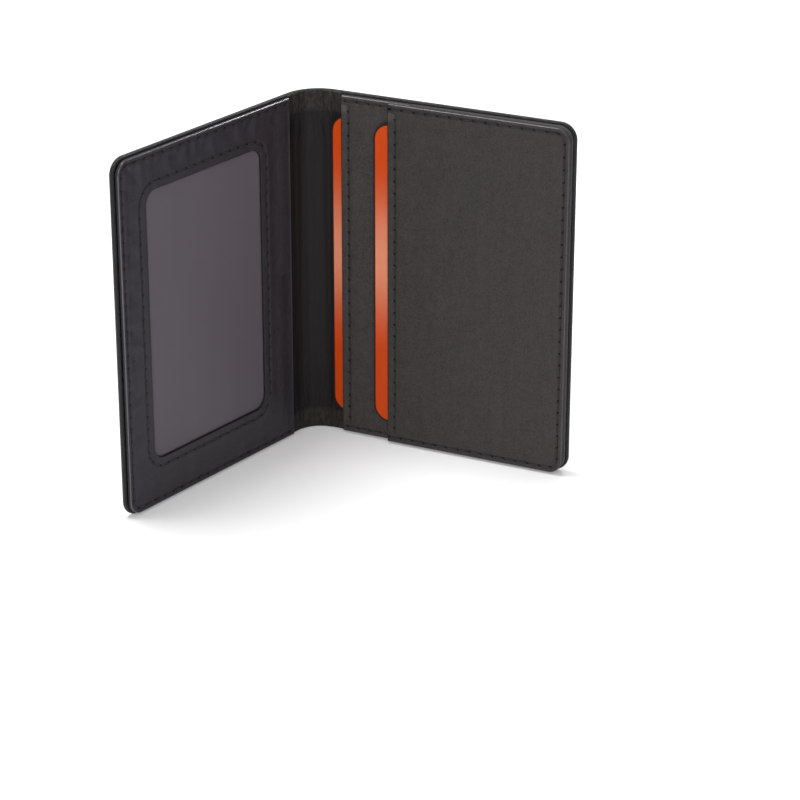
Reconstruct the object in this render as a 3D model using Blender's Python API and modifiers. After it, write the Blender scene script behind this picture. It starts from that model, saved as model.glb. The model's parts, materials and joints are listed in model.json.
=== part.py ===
"""A folding leather card case, standing half open like a book.

Two leaves hang on one crowned leather spine, each folding on its own crease. The card leaf has two
stepped card slots, and the window leaf has a clear pocket. Each leaf's cover is turned in over a
stiffening board on three sides, and the inner pieces are sewn to it along those sides, with the
thread in a sunken groove. Spine and leaves are each drawn in their own frame: +X runs along the
leather from the card leaf to the window leaf, +Y points to the inside of the case and +Z is up.
"""

import math

import bmesh
import bpy
from mathutils import Vector

# The case as a whole, in metres and degrees
CASE_HEIGHT = 0.098
LEAF_WIDTH = 0.07246
LEAF_CORNER = 0.0045
OPEN_ANGLE_DEG = 103.0
CLOSED_THICKNESS = 0.008

# The turned-edge covers
COVER_LEATHER = 0.0007
TURN_IN_LEATHER = 0.0003
TURN_IN_WIDTH = 0.006
BOARD_THICKNESS = 0.0003
COVER_EDGE_ROUND = 0.00055

# The spine between the two creases
SPINE_BULGE = 0.0005
CREASE_GAP = 0.0003
SPINE_END_ROUND = 0.0003
SPINE_SEGMENTS = 8

# The layers sewn inside
LAYER_GAP = 0.0001
LINING_THICKNESS = 0.0002
LINING_EDGE_INSET = 0.0012
PANEL_LEATHER = 0.00045
PANEL_EDGE_INSET = 0.0006
PANEL_EDGE_ROUND = 0.0002
POCKET_CLEARANCE = 0.0002
SEAM_WIDTH = 0.001

# The card slots, measured from the card leaf's crease
SLOT_1_EDGE = 0.0064
SLOT_PITCH = 0.0142
SLOT_1_PANEL_WIDTH = 0.0202
CARD_1_SHOWN = 0.0030
CARD_2_SHOWN = 0.0042

# A bank-sized card
CARD_LENGTH = 0.0856
CARD_WIDTH = 0.05398
CARD_THICKNESS = 0.00076
CARD_CORNER = 0.00318

# The window pocket
FRAME_LEATHER = 0.00055
FRAME_OPEN_EDGE = 0.0056
WINDOW_NEAR = 0.0177
WINDOW_FORE_MARGIN = 0.0106
WINDOW_FOOT_MARGIN = 0.0133
WINDOW_HEAD_MARGIN = 0.0111
WINDOW_CORNER = 0.0036
FILM_THICKNESS = 0.00022
FILM_LAP = 0.004

# The seams
THREAD_RADIUS = 0.00011
GROOVE_RADIUS = 0.0002
THREAD_SUNK = 0.00003
SEAM_INSET = 0.0020
SLOT_SEAM_INSET = 0.0021
WINDOW_SEAM_MARGIN = 0.0024
SEAM_END_MARGIN = 0.0010
OUTER_SEAM_NEAR = 0.0030
THREAD_SIDES_RESOLUTION = 2

CORNER_SEGMENTS = 6
EDGE_SEGMENTS = 3
CUT_OVERRUN = 0.002
SAME_PLACE = 0.000001

# Linear colour, roughness
BLACK_GRAIN = ((0.014, 0.014, 0.016), 0.36)
DARK_LEATHER = ((0.050, 0.046, 0.044), 0.52)
COOL_LEATHER = ((0.040, 0.038, 0.044), 0.52)
DARK_LINING = ((0.020, 0.018, 0.017), 0.62)
GREY_LINING = ((0.095, 0.082, 0.093), 0.70)
GREY_BOARD = ((0.190, 0.170, 0.140), 0.85)
CLEAR_FILM = ((0.300, 0.300, 0.310), 0.18)
ORANGE_CARD = ((0.560, 0.075, 0.010), 0.42)
BLACK_THREAD = ((0.010, 0.010, 0.011), 0.60)

# How deep a thread's centre line lies below the leather, so that nothing catches on it
SEAM_DEPTH = THREAD_RADIUS + THREAD_SUNK

# The creases run in the middle of the cover's leather, and each takes half of the bend
FOLD_DEPTH = COVER_LEATHER / 2
CLOSED_FOLD = math.pi / 2
REST_FOLD = (math.pi - math.radians(OPEN_ANGLE_DEG)) / 2
SPINE_WIDTH = CLOSED_THICKNESS - COVER_LEATHER
SPINE_RADIUS = ((SPINE_WIDTH / 2) ** 2 + SPINE_BULGE**2) / (2 * SPINE_BULGE)
SPINE_CENTRE = SPINE_RADIUS - SPINE_BULGE

# Depths below the outer face, layer by layer
BOARD_TOP = COVER_LEATHER + LAYER_GAP
BOARD_END = BOARD_TOP + BOARD_THICKNESS
TURN_IN_TOP = BOARD_END + LAYER_GAP
COVER_END = TURN_IN_TOP + TURN_IN_LEATHER
LINING_TOP = COVER_END + LAYER_GAP
LINING_END = LINING_TOP + LINING_THICKNESS
POCKET_START = LINING_END + LAYER_GAP
CARD_ROOM = CARD_THICKNESS + 2 * LAYER_GAP
SLOT_1_TOP = LINING_END + CARD_ROOM
SLOT_1_END = SLOT_1_TOP + PANEL_LEATHER
SLOT_2_START = SLOT_1_END + LAYER_GAP
SLOT_2_TOP = SLOT_1_END + CARD_ROOM
SLOT_2_END = SLOT_2_TOP + PANEL_LEATHER
FILM_END = POCKET_START + FILM_THICKNESS
FRAME_TOP = FILM_END + LAYER_GAP
FRAME_END = FRAME_TOP + FRAME_LEATHER

# Places along a leaf and up it
SLOT_2_EDGE = SLOT_1_EDGE + SLOT_PITCH
CARD_1_NEAR = SLOT_1_EDGE - CARD_1_SHOWN
CARD_2_NEAR = SLOT_2_EDGE - CARD_2_SHOWN
CARD_1_STOP = CARD_1_NEAR + CARD_WIDTH + POCKET_CLEARANCE
CARD_2_STOP = CARD_2_NEAR + CARD_WIDTH + POCKET_CLEARANCE
WINDOW_FAR = LEAF_WIDTH - WINDOW_FORE_MARGIN
WINDOW_HIGH = CASE_HEIGHT - WINDOW_HEAD_MARGIN
PANEL_FAR = LEAF_WIDTH - PANEL_EDGE_INSET
POCKET_LOW = (CASE_HEIGHT - CARD_LENGTH) / 2 - POCKET_CLEARANCE
POCKET_HIGH = CASE_HEIGHT - POCKET_LOW
PANEL_CORNER = LEAF_CORNER - PANEL_EDGE_INSET
FILM_ROOM = FILM_LAP + POCKET_CLEARANCE
WINDOW_POCKET_LOW = min(POCKET_LOW, WINDOW_FOOT_MARGIN - FILM_ROOM)
WINDOW_POCKET_HIGH = max(POCKET_HIGH, WINDOW_HIGH + FILM_ROOM)
WINDOW_POCKET_STOP = max(CARD_2_STOP, WINDOW_FAR + FILM_ROOM)
CARD_LEAF = -1
WINDOW_LEAF = 1


def clear_scene():
    for old in list(bpy.data.objects):
        bpy.data.objects.remove(old, do_unlink=True)


def collection(name, for_cutters=False):
    made = bpy.data.collections.new(name)
    bpy.context.scene.collection.children.link(made)
    made.hide_render = for_cutters
    return made


def finish(obj, look):
    """Gives the piece its own plain material."""
    colour, roughness = look
    material = bpy.data.materials.new(obj.name)
    material.use_nodes = True
    shader = material.node_tree.nodes["Principled BSDF"]
    shader.inputs["Base Color"].default_value = (*colour, 1.0)
    shader.inputs["Roughness"].default_value = roughness
    shader.inputs["Metallic"].default_value = 0.0
    material.diffuse_color = (*colour, 1.0)
    obj.data.materials.append(material)


def place(name, shape, frame, into, look=None):
    """Turns a bmesh into an object that hangs on a frame."""
    mesh = bpy.data.meshes.new(name)
    shape.to_mesh(mesh)
    shape.free()
    obj = bpy.data.objects.new(name, mesh)
    into.objects.link(obj)
    obj.parent = frame
    if look:
        finish(obj, look)
    else:
        obj.hide_render = True
        obj.display_type = "WIRE"
    return obj


def block(low, high):
    shape = bmesh.new()
    bmesh.ops.create_cube(shape, size=1.0)
    low, high = Vector(low), Vector(high)
    bmesh.ops.scale(shape, vec=high - low, verts=shape.verts)
    bmesh.ops.translate(shape, vec=(low + high) / 2, verts=shape.verts)
    return shape


def same(first, second):
    return abs(first - second) < SAME_PLACE


def round_corners(shape, radius, at_x=None):
    """Rounds the corners of a flat piece, seen square on, or only those at one end."""
    edges = [
        edge
        for edge in shape.edges
        if not same(edge.verts[0].co.y, edge.verts[1].co.y)
        and (at_x is None or all(same(vert.co.x, at_x) for vert in edge.verts))
    ]
    bmesh.ops.bevel(
        shape,
        geom=edges,
        offset=radius,
        offset_type="OFFSET",
        segments=CORNER_SEGMENTS,
        profile=0.5,
        affect="EDGES",
        clamp_overlap=False,
    )


def mark_rim(shape, depths, skip_x=None):
    """Weighs the edges round the flat faces at these depths, for the Bevel that rounds them."""
    weight = shape.edges.layers.float.new("bevel_weight_edge")
    levels = [depth - FOLD_DEPTH for depth in depths]
    for edge in shape.edges:
        first, second = (vert.co for vert in edge.verts)
        in_face = any(same(first.y, level) and same(second.y, level) for level in levels)
        at_fold = skip_x is not None and first.x * skip_x >= 0 and max(
            abs(first.x), abs(second.x)
        ) <= abs(skip_x)
        edge[weight] = 1.0 if in_face and not at_fold else 0.0


def round_rim(obj, width):
    bevel = obj.modifiers.new("rounded rim", "BEVEL")
    bevel.limit_method = "WEIGHT"
    bevel.width = width
    bevel.segments = EDGE_SEGMENTS
    bevel.use_clamp_overlap = False


def cut(obj, cutter):
    boolean = obj.modifiers.new(cutter.name, "BOOLEAN")
    boolean.operation = "DIFFERENCE"
    boolean.object = cutter


def fold_clear(depth):
    """How far from a crease a layer at this depth starts, to clear its neighbour when closed."""
    return CREASE_GAP / 2 + max(depth - FOLD_DEPTH, 0.0) * math.tan(CLOSED_FOLD / 2)


def leaf_sheet(leaf, near, far, low, high, top, end, corner=0.0):
    """A flat layer of a leaf: near and far count from its crease, top and end are depths."""
    left, right = sorted((leaf * near, leaf * far))
    shape = block((left, top - FOLD_DEPTH, low), (right, end - FOLD_DEPTH, high))
    if corner:
        round_corners(shape, corner, leaf * far)
    return shape


def slope_fold_edge(shape, leaf):
    """Sets a cover's edge at the crease back with depth, as a keystone's side."""
    fold_x = leaf * CREASE_GAP / 2
    for vert in shape.verts:
        if same(vert.co.x, fold_x):
            vert.co.x = leaf * fold_clear(vert.co.y + FOLD_DEPTH)


def leaf_cover(name, leaf, frame, parts, cutters):
    """The leather of one leaf, turned in over its board at the top, the foot and the fore edge."""
    shape = leaf_sheet(
        leaf, CREASE_GAP / 2, LEAF_WIDTH, 0.0, CASE_HEIGHT, 0.0, COVER_END, LEAF_CORNER
    )
    slope_fold_edge(shape, leaf)
    mark_rim(shape, (0.0, COVER_END), leaf * fold_clear(COVER_END))
    cover = place(name, shape, frame, parts, BLACK_GRAIN)
    round_rim(cover, COVER_EDGE_ROUND)
    room = leaf_sheet(
        leaf,
        -CUT_OVERRUN,
        LEAF_WIDTH - COVER_LEATHER,
        COVER_LEATHER,
        CASE_HEIGHT - COVER_LEATHER,
        COVER_LEATHER,
        TURN_IN_TOP,
        LEAF_CORNER - COVER_LEATHER,
    )
    cut(cover, place(f"{name}_board_room", room, frame, cutters))
    opening = leaf_sheet(
        leaf,
        -CUT_OVERRUN,
        LEAF_WIDTH - TURN_IN_WIDTH,
        TURN_IN_WIDTH,
        CASE_HEIGHT - TURN_IN_WIDTH,
        BOARD_END,
        COVER_END + CUT_OVERRUN,
        LEAF_CORNER,
    )
    cut(cover, place(f"{name}_turn_in_opening", opening, frame, cutters))


def leaf_board(name, leaf, frame, parts):
    """The stiffening board, caught under the turned-in edge."""
    inset = COVER_LEATHER + LAYER_GAP
    shape = leaf_sheet(
        leaf,
        fold_clear(BOARD_END),
        LEAF_WIDTH - inset,
        inset,
        CASE_HEIGHT - inset,
        BOARD_TOP,
        BOARD_END,
        LEAF_CORNER - inset,
    )
    place(name, shape, frame, parts, GREY_BOARD)


def leaf_lining(name, leaf, frame, parts, look):
    shape = leaf_sheet(
        leaf,
        fold_clear(LINING_END),
        LEAF_WIDTH - LINING_EDGE_INSET,
        LINING_EDGE_INSET,
        CASE_HEIGHT - LINING_EDGE_INSET,
        LINING_TOP,
        LINING_END,
        LEAF_CORNER - LINING_EDGE_INSET,
    )
    place(name, shape, frame, parts, look)


def panel(name, leaf, frame, parts, look, near, far, start, end):
    """A sewn panel with its margins: it reaches down to what it is sewn on, from start to end."""
    corner = PANEL_CORNER if same(far, PANEL_FAR) else 0.0
    shape = leaf_sheet(
        leaf, near, far, PANEL_EDGE_INSET, CASE_HEIGHT - PANEL_EDGE_INSET, start, end, corner
    )
    mark_rim(shape, (end,))
    obj = place(name, shape, frame, parts, look)
    round_rim(obj, PANEL_EDGE_ROUND)
    return obj


def hollow_pocket(obj, leaf, frame, cutters, near, far, top, low=POCKET_LOW, high=POCKET_HIGH):
    """Cuts the card's room under a panel, open at the near side if near lies outside the panel."""
    room = leaf_sheet(leaf, near, far, low, high, LINING_END - CUT_OVERRUN, top, CARD_CORNER)
    cut(obj, place(f"{obj.name}_pocket_{len(obj.modifiers)}", room, frame, cutters))


def card_slots(frame, parts, cutters):
    """The stepped slots: a leather strip on a fabric pocket, then the wide leather panel."""
    strip_far = SLOT_1_EDGE + SLOT_1_PANEL_WIDTH
    strip = panel(
        "slot_panel_1", CARD_LEAF, frame, parts, DARK_LEATHER,
        SLOT_1_EDGE, strip_far, POCKET_START, SLOT_1_END,
    )
    hollow_pocket(
        strip, CARD_LEAF, frame, cutters,
        SLOT_1_EDGE - CUT_OVERRUN, strip_far + CUT_OVERRUN + CARD_CORNER, SLOT_1_TOP,
    )
    lining_near = strip_far + LAYER_GAP
    lining = panel(
        "pocket_lining_1", CARD_LEAF, frame, parts, DARK_LINING,
        lining_near, PANEL_FAR, POCKET_START, SLOT_1_END,
    )
    top = SLOT_1_END - LINING_THICKNESS
    hollow_pocket(
        lining, CARD_LEAF, frame, cutters, lining_near - CUT_OVERRUN, CARD_1_STOP, top
    )
    hollow_pocket(
        lining, CARD_LEAF, frame, cutters, CARD_1_STOP + SEAM_WIDTH, CARD_2_STOP, top
    )
    wide = panel(
        "slot_panel_2", CARD_LEAF, frame, parts, DARK_LEATHER,
        SLOT_2_EDGE, PANEL_FAR, SLOT_2_START, SLOT_2_END,
    )
    hollow_pocket(
        wide, CARD_LEAF, frame, cutters, SLOT_2_EDGE - CUT_OVERRUN, CARD_2_STOP, SLOT_2_TOP
    )


def card(name, frame, parts, near, top):
    """A card in its slot. Its origin is its centre, on the line along which it slides."""
    half = Vector((CARD_WIDTH, CARD_THICKNESS, CARD_LENGTH)) / 2
    shape = block(-half, half)
    round_corners(shape, CARD_CORNER)
    obj = place(name, shape, frame, parts, ORANGE_CARD)
    obj.location = (
        CARD_LEAF * (near + half.x),
        top + half.y - FOLD_DEPTH,
        CASE_HEIGHT / 2,
    )


def window_pocket(frame, parts, cutters):
    """The framed window: leather with a round-cornered cut-out over a sheet of clear film."""
    film = leaf_sheet(
        WINDOW_LEAF,
        WINDOW_NEAR - FILM_LAP,
        WINDOW_FAR + FILM_LAP,
        WINDOW_FOOT_MARGIN - FILM_LAP,
        WINDOW_HIGH + FILM_LAP,
        POCKET_START,
        FILM_END,
    )
    place("window_film", film, frame, parts, CLEAR_FILM)
    leather = panel(
        "window_frame", WINDOW_LEAF, frame, parts, COOL_LEATHER,
        FRAME_OPEN_EDGE, PANEL_FAR, POCKET_START, FRAME_END,
    )
    hollow_pocket(
        leather, WINDOW_LEAF, frame, cutters,
        FRAME_OPEN_EDGE - CUT_OVERRUN, WINDOW_POCKET_STOP, FRAME_TOP,
        WINDOW_POCKET_LOW, WINDOW_POCKET_HIGH,
    )
    hole = leaf_sheet(
        WINDOW_LEAF, WINDOW_NEAR, WINDOW_FAR, WINDOW_FOOT_MARGIN, WINDOW_HIGH,
        POCKET_START - CUT_OVERRUN, FRAME_END + CUT_OVERRUN,
    )
    round_corners(hole, WINDOW_CORNER)
    cut(leather, place("window_frame_hole", hole, frame, cutters))


def crowned_strip(top, end, low, high, overrun=0.0):
    """A layer of the spine: it bows outwards, and its sides clear the leaves when they are shut."""
    shape = block((-1.0, top - FOLD_DEPTH, low), (1.0, end - FOLD_DEPTH, high))
    for number in range(1, SPINE_SEGMENTS):
        bisect(shape, (2.0 * number / SPINE_SEGMENTS - 1.0, 0.0, 0.0), (1.0, 0.0, 0.0))
    if top < FOLD_DEPTH < end:
        bisect(shape, (0.0, 0.0, 0.0), (0.0, 1.0, 0.0))
    side = (SPINE_WIDTH - CREASE_GAP) / 2 + overrun
    for vert in shape.verts:
        share, inward, up = vert.co
        radius = SPINE_RADIUS - inward
        if inward > 0.0:
            reach = (side - SPINE_CENTRE) / (radius * math.sqrt(2.0))
            half_turn = CLOSED_FOLD / 2 + math.asin(reach)
        else:
            half_turn = math.asin(side / radius)
        turn = share * half_turn
        vert.co = (radius * math.sin(turn), SPINE_CENTRE - radius * math.cos(turn), up)
    return shape


def bisect(shape, point, normal):
    everything = list(shape.verts) + list(shape.edges) + list(shape.faces)
    bmesh.ops.bisect_plane(shape, geom=everything, plane_co=point, plane_no=normal)


def spine(frame, parts, cutters):
    """The back of the case: leather turned in at both ends, with its lining on the inside."""
    hem_end = COVER_LEATHER + TURN_IN_LEATHER
    shape = crowned_strip(0.0, hem_end, 0.0, CASE_HEIGHT)
    weight = shape.edges.layers.float.new("bevel_weight_edge")
    for edge in shape.edges:
        at_end = same(edge.verts[0].co.z, edge.verts[1].co.z)
        depths = [SPINE_RADIUS - Vector((v.co.x, v.co.y - SPINE_CENTRE)).length for v in edge.verts]
        on_face = same(depths[0], depths[1]) and abs(depths[0]) > FOLD_DEPTH / 2
        edge[weight] = 1.0 if at_end and on_face else 0.0
    cover = place("spine_cover", shape, frame, parts, BLACK_GRAIN)
    round_rim(cover, SPINE_END_ROUND)
    relief = crowned_strip(
        COVER_LEATHER,
        hem_end + CUT_OVERRUN,
        TURN_IN_WIDTH,
        CASE_HEIGHT - TURN_IN_WIDTH,
        CUT_OVERRUN,
    )
    cut(cover, place("spine_cover_relief", relief, frame, cutters))
    lining_top = hem_end + LAYER_GAP
    lining = crowned_strip(
        lining_top,
        lining_top + LINING_THICKNESS,
        LINING_EDGE_INSET,
        CASE_HEIGHT - LINING_EDGE_INSET,
    )
    place("spine_lining", lining, frame, parts, DARK_LINING)


def tube(name, points, radius, frame, into, look=None, closed=False):
    """A round cord through these points, as a thread or as the groove that it lies in."""
    path = bpy.data.curves.new(name, "CURVE")
    path.dimensions = "3D"
    path.bevel_depth = radius
    path.bevel_resolution = THREAD_SIDES_RESOLUTION
    path.use_fill_caps = True
    spline = path.splines.new("POLY")
    spline.points.add(len(points) - 1)
    for point, spot in zip(spline.points, points):
        point.co = (*spot, 1.0)
    spline.use_cyclic_u = closed
    obj = bpy.data.objects.new(name, path)
    into.objects.link(obj)
    obj.parent = frame
    if look:
        finish(obj, look)
    return obj


def groove(obj, points, frame, cutters, closed=False):
    """Presses a groove for a thread into a piece of leather."""
    cord = tube(f"{obj.name}_groove_path", points, GROOVE_RADIUS, frame, cutters, closed=closed)
    bpy.context.view_layer.update()
    mesh = bpy.data.meshes.new_from_object(cord.evaluated_get(bpy.context.evaluated_depsgraph_get()))
    bpy.data.objects.remove(cord, do_unlink=True)
    shape = bmesh.new()
    shape.from_mesh(mesh)
    bmesh.ops.remove_doubles(shape, verts=shape.verts, dist=SAME_PLACE)
    bmesh.ops.recalc_face_normals(shape, faces=shape.faces)
    bpy.data.meshes.remove(mesh)
    cut(obj, place(f"{obj.name}_groove_{len(obj.modifiers)}", shape, frame, cutters))


def arc(centre, radius, start_deg):
    """A quarter turn of a seam round a corner."""
    turns = [math.radians(start_deg + 90.0 * n / CORNER_SEGMENTS) for n in range(CORNER_SEGMENTS + 1)]
    return [(centre[0] + radius * math.cos(a), centre[1] + radius * math.sin(a)) for a in turns]


def in_leaf(leaf, flat_points, depth):
    return [(leaf * along, depth - FOLD_DEPTH, up) for along, up in flat_points]


def edge_seam(leaf, near, depth):
    """The seam along the foot, the fore edge and the top of a leaf."""
    radius = LEAF_CORNER - SEAM_INSET
    inset = SEAM_INSET + radius
    far = LEAF_WIDTH - inset
    line = [(near, SEAM_INSET)]
    line += arc((far, inset), radius, -90.0)
    line += arc((far, CASE_HEIGHT - inset), radius, 0.0)
    line += [(near, CASE_HEIGHT - SEAM_INSET)]
    return in_leaf(leaf, line, depth)


def outer_seams(parts, cutters, frames):
    """The thread on the outside of both covers."""
    for leaf, (name, frame) in frames.items():
        cover = parts.objects[f"{name}_cover"]
        near = OUTER_SEAM_NEAR - SEAM_END_MARGIN
        groove(cover, edge_seam(leaf, near, SEAM_DEPTH), frame, cutters)
        line = edge_seam(leaf, OUTER_SEAM_NEAR, SEAM_DEPTH)
        tube(f"{name}_outer_thread", line, THREAD_RADIUS, frame, parts, BLACK_THREAD)


def card_leaf_seams(frame, parts, cutters):
    """The seam round the card leaf's inside steps down from the wide panel to the narrow one."""
    wide, strip = parts.objects["slot_panel_2"], parts.objects["slot_panel_1"]
    wide_depth, strip_depth = SLOT_2_END - SEAM_DEPTH, SLOT_1_END - SEAM_DEPTH
    groove(wide, edge_seam(CARD_LEAF, SLOT_2_EDGE - CUT_OVERRUN, wide_depth), frame, cutters)
    step_x = SLOT_2_EDGE - GROOVE_RADIUS - LAYER_GAP
    near = SLOT_1_EDGE + SEAM_END_MARGIN
    ends = {}
    for end, up in (("foot", SEAM_INSET), ("top", CASE_HEIGHT - SEAM_INSET)):
        run = [(near - SEAM_END_MARGIN / 2, up), (step_x + GROOVE_RADIUS, up)]
        groove(strip, in_leaf(CARD_LEAF, run, strip_depth), frame, cutters)
        ends[end] = in_leaf(CARD_LEAF, [(near, up), (step_x, up)], strip_depth)
    upper = edge_seam(CARD_LEAF, step_x, wide_depth)
    line = ends["foot"] + upper + list(reversed(ends["top"]))
    tube("card_leaf_inner_thread", line, THREAD_RADIUS, frame, parts, BLACK_THREAD)
    for name, obj, edge, depth in (
        ("slot_1_thread", strip, SLOT_1_EDGE, strip_depth),
        ("slot_2_thread", wide, SLOT_2_EDGE, wide_depth),
    ):
        along = edge + SLOT_SEAM_INSET
        low = SEAM_INSET + SEAM_END_MARGIN
        for grow, made in ((SEAM_END_MARGIN / 2, groove), (0.0, None)):
            flat = [(along, low - grow), (along, CASE_HEIGHT - low + grow)]
            line = in_leaf(CARD_LEAF, flat, depth)
            if made:
                made(obj, line, frame, cutters)
            else:
                tube(name, line, THREAD_RADIUS, frame, parts, BLACK_THREAD)


def window_leaf_seams(frame, parts, cutters):
    """The seams round the window leaf's inside and round its window."""
    leather = parts.objects["window_frame"]
    near = FRAME_OPEN_EDGE + SEAM_END_MARGIN
    depth = FRAME_END - SEAM_DEPTH
    groove(leather, edge_seam(WINDOW_LEAF, near - SEAM_END_MARGIN / 2, depth), frame, cutters)
    line = edge_seam(WINDOW_LEAF, near, depth)
    tube("window_leaf_inner_thread", line, THREAD_RADIUS, frame, parts, BLACK_THREAD)
    radius = WINDOW_CORNER + WINDOW_SEAM_MARGIN
    left, right = WINDOW_NEAR + WINDOW_CORNER, WINDOW_FAR - WINDOW_CORNER
    low, high = WINDOW_FOOT_MARGIN + WINDOW_CORNER, WINDOW_HIGH - WINDOW_CORNER
    ring = arc((left, low), radius, 180.0) + arc((right, low), radius, 270.0)
    ring += arc((right, high), radius, 0.0) + arc((left, high), radius, 90.0)
    ring = in_leaf(WINDOW_LEAF, ring, depth)
    groove(leather, ring, frame, cutters, closed=True)
    tube("window_thread", ring, THREAD_RADIUS, frame, parts, BLACK_THREAD, closed=True)


def crease_frame(name, parent, along, turn, parts):
    """An empty on a crease. Turning it about Z folds the leather there."""
    frame = bpy.data.objects.new(name, None)
    frame.empty_display_size = SPINE_WIDTH
    parts.objects.link(frame)
    frame.parent = parent
    frame.location = (along, 0.0, 0.0)
    frame.rotation_euler.z = turn
    return frame


def heading(angle):
    return Vector((math.cos(angle), math.sin(angle), 0.0))


def spine_place():
    """Where the middle of the spine stands, with the window leaf square to X and the whole case
    centred over the origin."""
    turn = -math.pi / 2 - REST_FOLD
    window_crease = heading(turn) * SPINE_WIDTH / 2
    card_turn = turn - REST_FOLD
    along, inward = -heading(card_turn), heading(card_turn + math.pi / 2)
    outer_corner = along * LEAF_WIDTH - inward * FOLD_DEPTH - window_crease
    inner_corner = along * PANEL_FAR + inward * (SLOT_2_END - FOLD_DEPTH) - window_crease
    x_range = (window_crease.x - FOLD_DEPTH, inner_corner.x)
    y_range = (window_crease.y - LEAF_WIDTH, outer_corner.y)
    return Vector((-sum(x_range) / 2, -sum(y_range) / 2, 0.0)), turn


def build():
    clear_scene()
    parts = collection("card_case")
    cutters = collection("cutters", for_cutters=True)
    spot, turn = spine_place()
    back = crease_frame("spine_frame", None, 0.0, turn, parts)
    back.location = spot
    card_leaf = crease_frame("card_leaf_frame", back, -SPINE_WIDTH / 2, -REST_FOLD, parts)
    window_leaf = crease_frame("window_leaf_frame", back, SPINE_WIDTH / 2, REST_FOLD, parts)
    spine(back, parts, cutters)
    leaf_cover("card_leaf_cover", CARD_LEAF, card_leaf, parts, cutters)
    leaf_board("card_leaf_board", CARD_LEAF, card_leaf, parts)
    leaf_lining("card_leaf_lining", CARD_LEAF, card_leaf, parts, DARK_LINING)
    card_slots(card_leaf, parts, cutters)
    card("card_1", card_leaf, parts, CARD_1_NEAR, POCKET_START)
    card("card_2", card_leaf, parts, CARD_2_NEAR, SLOT_2_START)
    leaf_cover("window_leaf_cover", WINDOW_LEAF, window_leaf, parts, cutters)
    leaf_board("window_leaf_board", WINDOW_LEAF, window_leaf, parts)
    leaf_lining("window_leaf_lining", WINDOW_LEAF, window_leaf, parts, GREY_LINING)
    window_pocket(window_leaf, parts, cutters)
    frames = {CARD_LEAF: ("card_leaf", card_leaf), WINDOW_LEAF: ("window_leaf", window_leaf)}
    outer_seams(parts, cutters, frames)
    card_leaf_seams(card_leaf, parts, cutters)
    window_leaf_seams(window_leaf, parts, cutters)
    bpy.context.view_layer.update()
    for obj in parts.objects:
        if obj.type == "EMPTY":
            print(obj.name, tuple(round(value, 7) for value in obj.matrix_world.translation))


build()
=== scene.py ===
"""The looks of a folding leather card case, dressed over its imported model.

Lengths are in millimetres until a piece is laid in its place. On a leaf a point is given by its way
along the leather from the crease, its depth below the outer face and its height. On the spine the
way along counts from the middle of the spine.
"""

import json
import math

import bmesh
import bpy
import numpy as np
from mathutils import Matrix, Vector


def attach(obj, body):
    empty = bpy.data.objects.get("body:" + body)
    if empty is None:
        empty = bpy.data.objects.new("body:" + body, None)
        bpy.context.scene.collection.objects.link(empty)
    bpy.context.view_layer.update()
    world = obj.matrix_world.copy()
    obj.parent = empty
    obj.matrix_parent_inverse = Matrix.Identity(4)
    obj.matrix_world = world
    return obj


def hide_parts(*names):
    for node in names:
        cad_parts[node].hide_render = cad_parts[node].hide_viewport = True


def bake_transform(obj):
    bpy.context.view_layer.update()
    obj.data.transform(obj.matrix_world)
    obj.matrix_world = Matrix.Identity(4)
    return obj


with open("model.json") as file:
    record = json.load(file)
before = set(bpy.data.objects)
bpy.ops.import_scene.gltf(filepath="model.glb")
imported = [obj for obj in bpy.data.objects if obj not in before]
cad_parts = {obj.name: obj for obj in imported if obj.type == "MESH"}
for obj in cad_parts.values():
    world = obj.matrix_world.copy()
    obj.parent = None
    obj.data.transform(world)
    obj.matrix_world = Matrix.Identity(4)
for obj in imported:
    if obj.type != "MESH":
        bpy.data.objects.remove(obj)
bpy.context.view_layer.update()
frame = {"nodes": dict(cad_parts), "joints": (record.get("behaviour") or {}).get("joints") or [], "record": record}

MM = 0.001
UP = (0.0, 0.0, 1.0)


def reach(node, way, start=(0.0, 0.0, 0.0)):
    """How far a solid lies along a way from a start, in millimetres: its nearest and furthest."""
    way, start = Vector(way), Vector(start)
    spots = [(vert.co - start).dot(way) / MM for vert in frame["nodes"][node].data.vertices]
    return min(spots), max(spots)


# The two leaves: where each turns on the spine, and which way its leather runs

HINGES = [joint for joint in frame["joints"] if joint["type"] == "hinge"]
CREASE = {hinge["child"]: Vector((*hinge["pos_m"][:2], 0.0)) for hinge in HINGES}
OUTWARD = {mount["name"]: Vector(mount["axis"]) for mount in frame["record"]["mounts"]}
CARD_INWARD = -OUTWARD["card_cover_face"].normalized()
CARD_ALONG = Vector((-CARD_INWARD.y, CARD_INWARD.x, 0.0))
WINDOW_INWARD = -OUTWARD["window_cover_face"].normalized()
WINDOW_ALONG = Vector((WINDOW_INWARD.y, -WINDOW_INWARD.x, 0.0))
SPINE_WAY = CREASE["card_leaf"] - CREASE["window_leaf"]
SPINE_WIDTH = SPINE_WAY.length / MM
REST_FOLD = SPINE_WAY.angle(CARD_ALONG)


def card_reach(node, way):
    return reach(node, way, CREASE["card_leaf"])


def window_reach(node, way):
    return reach(node, way, CREASE["window_leaf"])


# Sizes taken from the solids

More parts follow.
